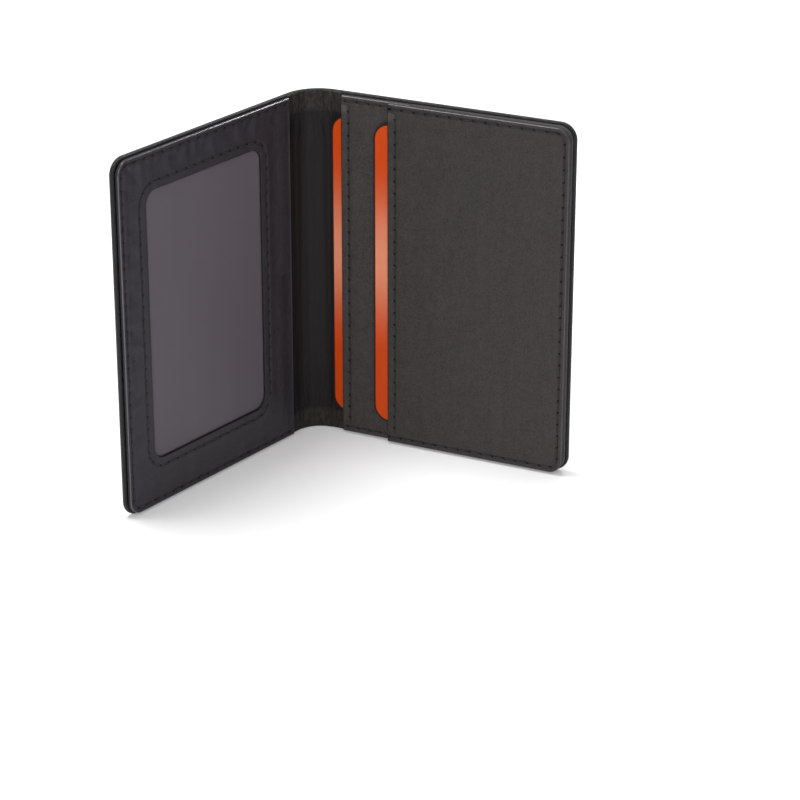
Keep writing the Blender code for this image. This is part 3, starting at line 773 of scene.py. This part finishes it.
def cover(name, leaf, node):
    """A leaf's outer leather, turned in over its board."""
    net = Net(BEND_START, LEAF_WIDTH, 0.0, CASE_HEIGHT, cover_rings(), LEAF_CORNER)
    along, inset = edge_seam(net.x, net.z)
    begun = ease((net.x - BEND_START) / 1.2)
    pulled = pull_in(along, inset - SEAM_INSET, 0.32, 0.24, 3.0, 0.7)
    dip = np.where(inset < PULLED_EDGE, pulled, 0.0)
    dip = dip * begun + rolling(net.x, net.z, 0.05) * ease((net.x - 4.0) / 8.0)
    off = np.where(net.x < OUTER_ROW, NO_SEAM, inset)
    obj = sheet(name, net, 0.0, leaf.flat, -leaf.inward, COVER_SKIN, dip,
                [("edge_seam", (along, off))], side=1.0, rim=COVER_RIM)
    dress(obj, OUTER, node)
    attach(obj, leaf.body)


def spine_half(name, leaf):
    """Half of the spine's outer leather, from its middle to where the leaf turns flat."""
    net = Net(0.0, HALF_ARC, 0.0, CASE_HEIGHT, cover_rings(), LEAF_CORNER, fore=False,
              across=between(0.0, HALF_ARC, 0.22))
    share = ease(net.x / HALF_ARC)
    net.fall = net.fall * (SPINE_HEM_SHARE + (1.0 - SPINE_HEM_SHARE) * share)
    obj = sheet(name, net, 0.0, leaf.round, -leaf.inward, COVER_SKIN, side=1.0, rim=COVER_RIM)
    dress(obj, SPINE_OUTER, "spine_cover")
    leaf.bend_end()
    leaf.middle()
    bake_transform(obj)


def lining_half(name, leaf, panel_edge):
    """Half of the spine's soft lining. It runs on under the leaf's first panel."""
    rings = [(0.0, 0.34), (0.02, 0.22), (0.1, 0.1), (LINING_EDGE, 0.0)]
    rings += [(LINING_EDGE + 0.45 * n, 0.0) for n in range(1, 13)]
    corner = rings[-1][0]
    far = HALF_ARC + LINING_REACH - BEND_START
    low, high = LINING_EDGE, CASE_HEIGHT - LINING_EDGE
    net = Net(0.0, far, low, high, rings, corner, fore=False, across=between(0.0, far, 0.24),
              up=between(low + corner, high - corner, 0.8))
    middle = CASE_HEIGHT / 2
    under = ease((net.x - (HALF_ARC + panel_edge - BEND_START - 0.6)) / 0.5)
    net.z = middle + (net.z - middle) * (1.0 - under * (LINING_INSET - low) / (middle - low))
    thin = COVER_END * SPINE_HEM_SHARE + 2 * LAYER_GAP
    face = thin + (LINING_FACE - thin) * ease((net.x - 1.0) / (HALF_ARC - 0.6))
    folds = np.zeros_like(net.x)
    for spot, wide, deep, lean in LINING_FOLDS:
        folds += deep * np.exp(-(((net.x - spot - lean * (net.z - middle)) / wide) ** 2))
    from_end = np.minimum(net.z, CASE_HEIGHT - net.z)
    hem = 1.0 - ease((from_end - 3.6) / 2.8)
    gather = 0.05 * hem * (np.sin(net.x * 4.1) + 0.7 * np.sin(net.x * 6.7 + net.z * 0.9))
    dip = folds * (1.0 - 0.3 * hem) + gather - 0.05 * hem + 0.08
    dip = dip * (1.0 - ease((net.x - HALF_ARC + 0.2) / 1.4))
    obj = sheet(name, net, face, leaf.round, leaf.inward, CLOTH_SKIN, dip,
                [("run", (net.x, net.z))])
    dress(obj, LINING_LEATHER, "spine_lining")
    leaf.bend_end()
    leaf.middle()
    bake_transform(obj)


cover("card_cover_leather", CARD_LEAF, "card_leaf_cover")
cover("window_cover_leather", WINDOW_LEAF, "window_leaf_cover")
spine_half("spine_leather_card_side", CARD_LEAF)
spine_half("spine_leather_window_side", WINDOW_LEAF)
lining_half("spine_lining_card_side", CARD_LEAF, SLOT_1_EDGE)
lining_half("spine_lining_window_side", WINDOW_LEAF, FRAME_EDGE)


# Linings of the leaves


def leaf_lining(name, leaf, node, material):
    corner = LEAF_CORNER - LINING_INSET
    rings = [(0.0, 0.08), (0.05, 0.0)] + [(corner * n / 6, 0.0) for n in range(1, 7)]
    near, far = LINING_REACH + LAYER_GAP, LEAF_WIDTH - LINING_INSET
    net = Net(near, far, LINING_INSET, CASE_HEIGHT - LINING_INSET, rings, corner,
              across=between(near, far - corner, 2.2),
              up=between(LEAF_CORNER, CASE_HEIGHT - LEAF_CORNER, 2.2))
    obj = sheet(name, net, LINING_FACE, leaf.flat, leaf.inward, LINING_FACE - LINING_TOP)
    dress(obj, material, node)
    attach(obj, leaf.body)


leaf_lining("card_lining_cloth", CARD_LEAF, "card_leaf_lining", DARK_CLOTH)
leaf_lining("window_backing", WINDOW_LEAF, "window_leaf_lining", BACKING)


# Card slots

FOLDED_EDGE = rolled_edge(LIP_RIM, LIP_DROP)


def slot_panel(name, node, edge, far, face, fore, material):
    """A card slot's leather: a folded lip sewn down beside the slot, and its sewn margins."""
    side = far - PANEL_CORNER if fore else far
    marks = [edge + n for n in (0.6, 1.1, 1.5, 1.75, 1.95, 2.1, 2.25, 2.45, 2.7, 3.1, 3.6)]
    net = Net(edge, far, PANEL_INSET, CASE_HEIGHT - PANEL_INSET,
              panel_rings(SLOT_1_FACE - LINING_FACE - LAYER_GAP), PANEL_CORNER, FOLDED_EDGE, fore,
              marks + between(marks[-1], side, STEP))
    along, inset = edge_seam(net.x, net.z)
    slot_along = (net.z - CASE_HEIGHT / 2) / PITCH
    sewn = np.minimum(net.z, CASE_HEIGHT - net.z) > SEAM_NEAR
    slot_off = np.where(sewn, net.x - edge, NO_SEAM)
    lip_off = np.where(sewn, net.x - edge, np.maximum(net.x - edge, 2 * SLOT_SEAM))
    dip = np.where(inset < 9.0, pull_in(along, inset - SEAM_INSET, 0.18, 0.16, 2.2), 0.0)
    slot_dip = pull_in(slot_along, slot_off - SLOT_SEAM, 0.18, 0.07, 1.1, 0.9)
    dip = np.maximum(dip, np.where(slot_off < PULLED_SLOT, slot_dip, 0.0))
    calm = ease((inset - 3.0) / 5.0) * ease((slot_off - 3.0) / 4.0)
    dip = dip + rolling(net.x, net.z, 0.06) * calm
    obj = sheet(name, net, face, CARD_LEAF.flat, CARD_LEAF.inward, PANEL_SKIN, dip,
                [("edge_seam", (along, inset)), ("slot_seam", (slot_along, lip_off))])
    dress(obj, material, node)
    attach(obj, "card_leaf")


def pocket_cloth():
    """The cloth pocket between the two slots. Its edge shows under the wide panel's."""
    near = SLOT_1_FAR + LAYER_GAP
    net = Net(near, PANEL_FAR, PANEL_INSET, CASE_HEIGHT - PANEL_INSET,
              panel_rings(SLOT_1_FACE - LINING_FACE - LAYER_GAP, POCKET_RIM), PANEL_CORNER,
              across=between(near, PANEL_FAR - PANEL_CORNER, 2.0),
              up=between(LEAF_CORNER, CASE_HEIGHT - LEAF_CORNER, 2.0))
    obj = sheet("pocket_cloth", net, SLOT_1_FACE, CARD_LEAF.flat, CARD_LEAF.inward, CLOTH_SKIN)
    dress(obj, DARK_CLOTH, "pocket_lining_1")
    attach(obj, "card_leaf")


def plastic_card(name, node, body):
    """A bank-sized card with rounded corners, marked for a painted shadow along its edge."""
    near, far = card_reach(node, CARD_ALONG)
    low, high = reach(node, UP)
    back, face = (spot + FOLD_DEPTH for spot in card_reach(node, CARD_INWARD))
    bpy.ops.object.select_all(action="DESELECT")
    bpy.ops.mesh.primitive_cube_add(size=MM, scale=(far - near, face - back, high - low))
    obj = bpy.context.object
    obj.name = obj.data.name = name
    bpy.ops.object.transform_apply(location=False, rotation=False, scale=True)
    bpy.ops.object.mode_set(mode="EDIT")
    bpy.ops.mesh.select_all(action="DESELECT")
    bpy.context.tool_settings.mesh_select_mode = (False, True, False)
    shape = bmesh.from_edit_mesh(obj.data)
    for edge in shape.edges:
        run = edge.verts[1].co - edge.verts[0].co
        edge.select_set(abs(run.y) > 0.5 * run.length)
    bmesh.update_edit_mesh(obj.data)
    bpy.ops.mesh.bevel(offset=CARD_CORNER * MM, segments=CARD_ROUND_CUTS, profile=0.5)
    bpy.ops.mesh.select_all(action="DESELECT")
    bpy.context.tool_settings.mesh_select_mode = (False, False, True)
    shape = bmesh.from_edit_mesh(obj.data)
    for side in shape.faces:
        side.select_set(abs(side.normal.y) > 0.9)
    bmesh.update_edit_mesh(obj.data)
    bpy.ops.mesh.inset(thickness=CARD_RIM * MM, use_individual=True)
    bpy.context.tool_settings.mesh_select_mode = (True, False, False)
    bpy.ops.object.mode_set(mode="OBJECT")
    # Painted shadow: the card's sides and the rim of its face beside them are marked to be darkened.
    painted_edge_shadow = obj.data.attributes.new("painted_edge_shadow", "FLOAT", "POINT")
    for wall in obj.data.polygons:
        if abs(wall.normal.y) < 0.5:
            for index in wall.vertices:
                painted_edge_shadow.data[index].value = 1.0
    turn = Matrix((CARD_ALONG, -CARD_INWARD, Vector(UP))).transposed().to_4x4()
    middle = CARD_LEAF.flat((near + far) / 2, (back + face) / 2, (low + high) / 2)
    turn.translation = Vector(middle)
    obj.matrix_world = turn
    only(obj)
    bpy.ops.object.transform_apply(location=True, rotation=True, scale=True)
    bpy.ops.object.shade_smooth_by_angle(angle=math.radians(30))
    dress(obj, CARD_FINISH, node)
    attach(obj, body)


slot_panel("slot_1_leather", "slot_panel_1", SLOT_1_EDGE, SLOT_1_FAR, SLOT_1_FACE, False,
           STRIP_LEATHER)
slot_panel("slot_2_leather", "slot_panel_2", SLOT_2_EDGE, PANEL_FAR, SLOT_2_FACE, True,
           PANEL_LEATHER)
pocket_cloth()
plastic_card("orange_card_1", "card_1", "first_card")
plastic_card("orange_card_2", "card_2", "second_card")


# Window frame

WINDOW_EDGE = FOLDED_EDGE + [
    (out, 0.0) for out in (0.6, 1.1, 1.6, 1.9, 2.15, 2.4, 2.65, 2.9, 3.3, 3.9, 4.7, 5.6)
]


def lines_past_window(low, high, start, end):
    """Lines of the frame's grid in one direction, and each line's number out from the window."""
    out = [step for step, _ in WINDOW_EDGE]
    round_in = [WINDOW_CORNER * n / 7 for n in range(1, 8)]
    inside = [low + step for step in round_in]
    inside += between(low + WINDOW_CORNER, high - WINDOW_CORNER, STEP)
    inside += [high - step for step in reversed(round_in)]
    before = between(start, low - out[-1], STEP)
    after = between(high + out[-1], end, STEP)
    lines = before + [low - step for step in reversed(out)] + inside
    lines += [high + step for step in out] + after
    far = len(out)
    numbers = [far] * len(before) + list(range(far - 1, -1, -1)) + [-1] * len(inside)
    return lines, numbers + list(range(far)) + [far] * len(after)


def round_the_window(net, number):
    """Draws the grid's lines into the round corners of the window and rolls its edge down."""
    side_x = np.abs(net.x - WINDOW_MIDDLE[0]) - WINDOW_STRAIGHT[0]
    side_z = np.abs(net.z - WINDOW_MIDDLE[1]) - WINDOW_STRAIGHT[1]
    most = np.maximum(side_x, side_z)
    corner = (side_x > 0) & (side_z > 0)
    square = ease((most - WINDOW_CORNER - 3.0) / 4.0)
    shrink = most / np.maximum(np.hypot(side_x, side_z), 1e-9) * (1 - square) + square
    shrink = np.where(corner, shrink, 1.0)
    net.x = net.x + np.sign(net.x - WINDOW_MIDDLE[0]) * side_x * (shrink - 1.0)
    net.z = net.z + np.sign(net.z - WINDOW_MIDDLE[1]) * side_z * (shrink - 1.0)
    falls = np.array([fall for _, fall in WINDOW_EDGE] + [0.0])
    down = np.where(number < 0, 0.0, falls[np.maximum(number, 0)])
    net.fall = np.maximum(net.fall, down)
    # The window's rolled edge is marked for the same painted shade.
    net.fold = np.maximum(net.fold, down / LIP_RIM)


def window_frame():
    """The leather round the window, its inner edge rolled down to the film."""
    across, numbers_x = lines_past_window(
        *WINDOW_X, FRAME_EDGE + LIP_RIM, PANEL_FAR - PANEL_CORNER
    )
    up, numbers_z = lines_past_window(*WINDOW_Z, LEAF_CORNER, CASE_HEIGHT - LEAF_CORNER)
    net = Net(FRAME_EDGE, PANEL_FAR, PANEL_INSET, CASE_HEIGHT - PANEL_INSET,
              panel_rings(FRAME_FACE - LINING_FACE - LAYER_GAP), PANEL_CORNER, FOLDED_EDGE, True,
              across, up)
    far = len(WINDOW_EDGE)
    columns, rows = net.x.shape
    lead, cap = len(FOLDED_EDGE), (rows - len(up)) // 2
    numbers_x = [far] * lead + numbers_x + [far] * (columns - lead - len(across))
    numbers_z = [far] * cap + numbers_z + [far] * cap
    number = np.maximum(np.array(numbers_x)[:, None], np.array(numbers_z)[None, :])
    round_the_window(net, number)
    along, inset = edge_seam(net.x, net.z)
    sewn = net.x > FRAME_SEWN_FROM
    ring_along, ring_out = window_seam(net.x, net.z)
    pulled = pull_in(along, inset - SEAM_INSET, 0.18, 0.18, 3.0)
    dip = np.where((inset < PULLED_EDGE) & sewn, pulled, 0.0)
    ring_dip = pull_in(ring_along, ring_out - WINDOW_SEAM, 0.18, 0.07, 1.5, 0.9)
    dip = np.maximum(dip, np.where(ring_out < PULLED_SLOT, ring_dip, 0.0))
    band = ease((inset - 2.6) / 2.0) * ease((ring_out - 3.0) / 1.5)
    waves = np.sin(along * 2.3 + 0.9 * np.sin(along * 0.7)) + 0.6 * np.sin(along * 3.9 + 1.0)
    dip = dip + 0.11 * (waves + 1.6) * band
    edge_off = np.where(sewn, inset, NO_SEAM)
    obj = sheet("window_leather", net, FRAME_FACE, WINDOW_LEAF.flat, WINDOW_LEAF.inward,
                PANEL_SKIN, dip,
                [("edge_seam", (along, edge_off)), ("window_seam", (ring_along, ring_out))],
                hole=number <= 0)
    dress(obj, FRAME_LEATHER, "window_frame")
    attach(obj, "window_leaf")


window_frame()


# Stitches


def one_stitch():
    """One stitch of thread: a short round cord whose ends dive into their holes."""
    bpy.ops.object.select_all(action="DESELECT")
    long = PITCH * STITCH_SHARE
    bpy.ops.mesh.primitive_cylinder_add(
        vertices=6, radius=THREAD * MM, depth=long * MM, rotation=(0.0, math.pi / 2, 0.0)
    )
    obj = bpy.context.object
    bpy.ops.object.transform_apply(location=False, rotation=True, scale=False)
    bpy.ops.object.mode_set(mode="EDIT")
    for share in STITCH_CUTS:
        bpy.ops.mesh.select_all(action="SELECT")
        bpy.ops.mesh.bisect(plane_co=(share * long * MM, 0.0, 0.0), plane_no=(1.0, 0.0, 0.0))
    bpy.ops.object.mode_set(mode="OBJECT")
    for vert in obj.data.vertices:
        share = abs(vert.co.x) / (long * MM / 2)
        thin = 1.0 - STITCH_TAPER * share**4
        vert.co.y *= thin
        vert.co.z = vert.co.z * thin - STITCH_DIVE * MM * share**5
    shape = obj.data.copy()
    bpy.data.objects.remove(obj, do_unlink=True)
    return shape


STITCH = one_stitch()


def bend(centre, radius, first, last):
    """Points of a quarter turn of a seam."""
    turns = np.linspace(first, last, 17)
    return [(centre[0] + radius * math.cos(a), centre[1] + radius * math.sin(a)) for a in turns]


def edge_line(near):
    """The seam round a leaf as flat points, from the near end of its foot to that of its top."""
    side = LEAF_WIDTH - LEAF_CORNER
    points = [(near, SEAM_INSET)]
    points += bend((side, LEAF_CORNER), SEAM_CORNER, -math.pi / 2, 0.0)
    points += bend((side, CASE_HEIGHT - LEAF_CORNER), SEAM_CORNER, 0.0, math.pi / 2)
    return points + [(near, CASE_HEIGHT - SEAM_INSET)]


def window_line():
    """The seam round the window, from the middle of its fore side and back to it."""
    start = (WINDOW_MIDDLE[0] + WINDOW_STRAIGHT[0] + WINDOW_RING, WINDOW_MIDDLE[1])
    points = [start]
    for number, (way_x, way_z) in enumerate(((1, 1), (-1, 1), (-1, -1), (1, -1))):
        centre = (
            WINDOW_MIDDLE[0] + way_x * WINDOW_STRAIGHT[0],
            WINDOW_MIDDLE[1] + way_z * WINDOW_STRAIGHT[1],
        )
        points += bend(centre, WINDOW_RING, math.pi / 2 * number, math.pi / 2 * (number + 1))
    return points + [start]


def sew(name, leaf, node, rows):
    """Rows of stitches as one piece. A row is its flat points, face, side, pitch and first hole."""
    shape = bmesh.new()
    for line, face, side, pitch, first in rows:
        line = np.array(line)
        steps = np.linalg.norm(np.diff(line, axis=0), axis=1)
        runs = np.concatenate([[0.0], np.cumsum(steps)])
        first = runs[-1] / 2 % pitch if first is None else first
        holes = np.arange(first, runs[-1] + 0.001, pitch)
        flat = np.stack([np.interp(holes, runs, line[:, n]) for n in (0, 1)], axis=-1)
        outward = Vector(leaf.inward) * side
        for start, end in zip(flat[:-1], flat[1:]):
            start, end = (
                Vector(leaf.flat(spot[0], face - side * THREAD_DEPTH, spot[1]))
                for spot in (start, end)
            )
            forward = (end - start).normalized()
            turn = Matrix((forward, outward.cross(forward), outward)).transposed().to_4x4()
            turn.translation = (start + end) / 2
            made = len(shape.verts)
            shape.from_mesh(STITCH)
            shape.verts.ensure_lookup_table()
            bmesh.ops.transform(shape, matrix=turn, verts=shape.verts[made:])
    mesh = bpy.data.meshes.new(name)
    shape.to_mesh(mesh)
    shape.free()
    obj = bpy.data.objects.new(name, mesh)
    bpy.context.scene.collection.objects.link(obj)
    only(obj)
    bpy.ops.object.shade_smooth_by_angle(angle=math.radians(60))
    dress(obj, THREAD_FINISH, node)
    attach(obj, leaf.body)


def strip_ends():
    """The two short rows that hold the first slot's leather at the foot and the top."""
    first = (SEAM_FORE_HALF + SEAM_BEND + LEAF_WIDTH - LEAF_CORNER - STRIP_ROW) % PITCH
    return [
        ([(STRIP_ROW, up), (STRIP_ROW_END, up)], SLOT_1_FACE, 1.0, PITCH, first)
        for up in (SEAM_INSET, CASE_HEIGHT - SEAM_INSET)
    ]


for leaf, label in ((CARD_LEAF, "card"), (WINDOW_LEAF, "window")):
    sew(f"{label}_outer_stitches", leaf, f"{label}_leaf_outer_thread",
        [(edge_line(OUTER_ROW), 0.0, -1.0, PITCH, None)])
sew("card_inner_stitches", CARD_LEAF, "card_leaf_inner_thread",
    [(edge_line(PANEL_ROW), SLOT_2_FACE, 1.0, PITCH, None)] + strip_ends())
for number, edge, face in ((1, SLOT_1_EDGE, SLOT_1_FACE), (2, SLOT_2_EDGE, SLOT_2_FACE)):
    upright = [(edge + SLOT_SEAM, SEAM_NEAR), (edge + SLOT_SEAM, CASE_HEIGHT - SEAM_NEAR)]
    sew(f"slot_{number}_stitches", CARD_LEAF, f"slot_{number}_thread",
        [(upright, face, 1.0, PITCH, None)])
sew("window_inner_stitches", WINDOW_LEAF, "window_leaf_inner_thread",
    [(edge_line(FRAME_ROW), FRAME_FACE, 1.0, PITCH, None)])
sew("window_ring_stitches", WINDOW_LEAF, "window_thread",
    [(window_line(), FRAME_FACE, 1.0, WINDOW_PITCH, 0.0)])


# Solids that stay


def finish_solid(node, material):
    mesh = frame["nodes"][node].data
    mesh.materials.clear()
    mesh.materials.append(material)


finish_solid("card_leaf_board", BOARD_FINISH)
finish_solid("window_leaf_board", BOARD_FINISH)
finish_solid("window_film", FILM_FINISH)


# Floor, light and camera, in metres, degrees and watts

FLOOR_SIZE = 30.0
FLOOR_DROP = 0.00005
FLOOR_GLOW = 0.2
SKY = 0.6
EYE = (0.42479, -0.52849, 0.32703)
EYE_PITCH, EYE_YAW, EYE_ROLL = 23.864, 37.685, 0.068
EYE_LENS, EYE_SENSOR = 128.0, 36.0
# Each lamp's name, place, size and power
LAMPS = (
    ("back_box", (-0.12, 0.86, 0.83), (0.2, 0.2), 5.0),
    ("top_box", (-0.3, -0.1, 1.12), (0.5, 0.5), 11.0),
    ("front_box", (0.4, -1.0, 0.65), (1.0, 0.8), 4.5),
)


def floor():
    bpy.ops.object.select_all(action="DESELECT")
    bpy.ops.mesh.primitive_plane_add(size=FLOOR_SIZE, location=(0.0, 0.0, -FLOOR_DROP))
    obj = bpy.context.object
    obj.name = "studio_floor"
    finish = Finish("studio_floor")
    seen, shiny, through = (
        finish.add("ShaderNodeLightPath", None, None, name)
        for name in ("Is Camera Ray", "Is Glossy Ray", "Is Transmission Ray")
    )
    plain = finish.add("ShaderNodeBsdfDiffuse", None, {"Color": (0.9, 0.9, 0.91)})
    glow = finish.add("ShaderNodeEmission", None, {"Color": (1.0, 1.0, 1.0), "Strength": 1.0})
    share = seen.most(shiny).most(through) * FLOOR_GLOW
    both = finish.add("ShaderNodeMixShader", None, {0: share, 1: plain, 2: glow})
    out = next(n for n in finish.tree.nodes if n.type == "OUTPUT_MATERIAL")
    finish.tree.links.new(both.socket, out.inputs["Surface"])
    obj.data.materials.append(finish.material)


def softbox(name, spot, size, power):
    target = Vector((0.0, 0.0, CASE_HEIGHT / 2 * MM))
    data = bpy.data.lights.new(name, "AREA")
    data.shape = "RECTANGLE"
    data.size, data.size_y = size
    data.energy = power
    lamp = bpy.data.objects.new(name, data)
    bpy.context.scene.collection.objects.link(lamp)
    lamp.location = spot
    lamp.rotation_euler = (target - Vector(spot)).to_track_quat("-Z", "Y").to_euler()


def sky(level):
    world = bpy.data.worlds.new("studio")
    bpy.context.scene.world = world
    world.use_nodes = True
    back = world.node_tree.nodes["Background"]
    back.inputs["Color"].default_value = (1.0, 1.0, 1.0, 1.0)
    back.inputs["Strength"].default_value = level


def camera():
    """The photograph's place and angle."""
    pitch, yaw, roll = (math.radians(angle) for angle in (EYE_PITCH, EYE_YAW, EYE_ROLL))
    data = bpy.data.cameras.new("camera")
    data.sensor_width = EYE_SENSOR
    data.lens = EYE_LENS
    data.clip_start, data.clip_end = 0.01, 60.0
    eye = bpy.data.objects.new("camera", data)
    bpy.context.scene.collection.objects.link(eye)
    level = Vector((-math.sin(yaw), math.cos(yaw), 0.0))
    forward = level * math.cos(pitch) - Vector(UP) * math.sin(pitch)
    right = Vector((math.cos(yaw), math.sin(yaw), 0.0))
    up = right.cross(forward)
    across = right * math.cos(roll) + up * math.sin(roll)
    up = up * math.cos(roll) - right * math.sin(roll)
    turn = Matrix((across, up, -forward)).transposed().to_4x4()
    turn.translation = Vector(EYE)
    eye.matrix_world = turn
    bpy.context.scene.camera = eye


floor()
sky(SKY)
camera()
for lamp in LAMPS:
    softbox(*lamp)
bpy.context.scene.view_settings.view_transform = "Standard"
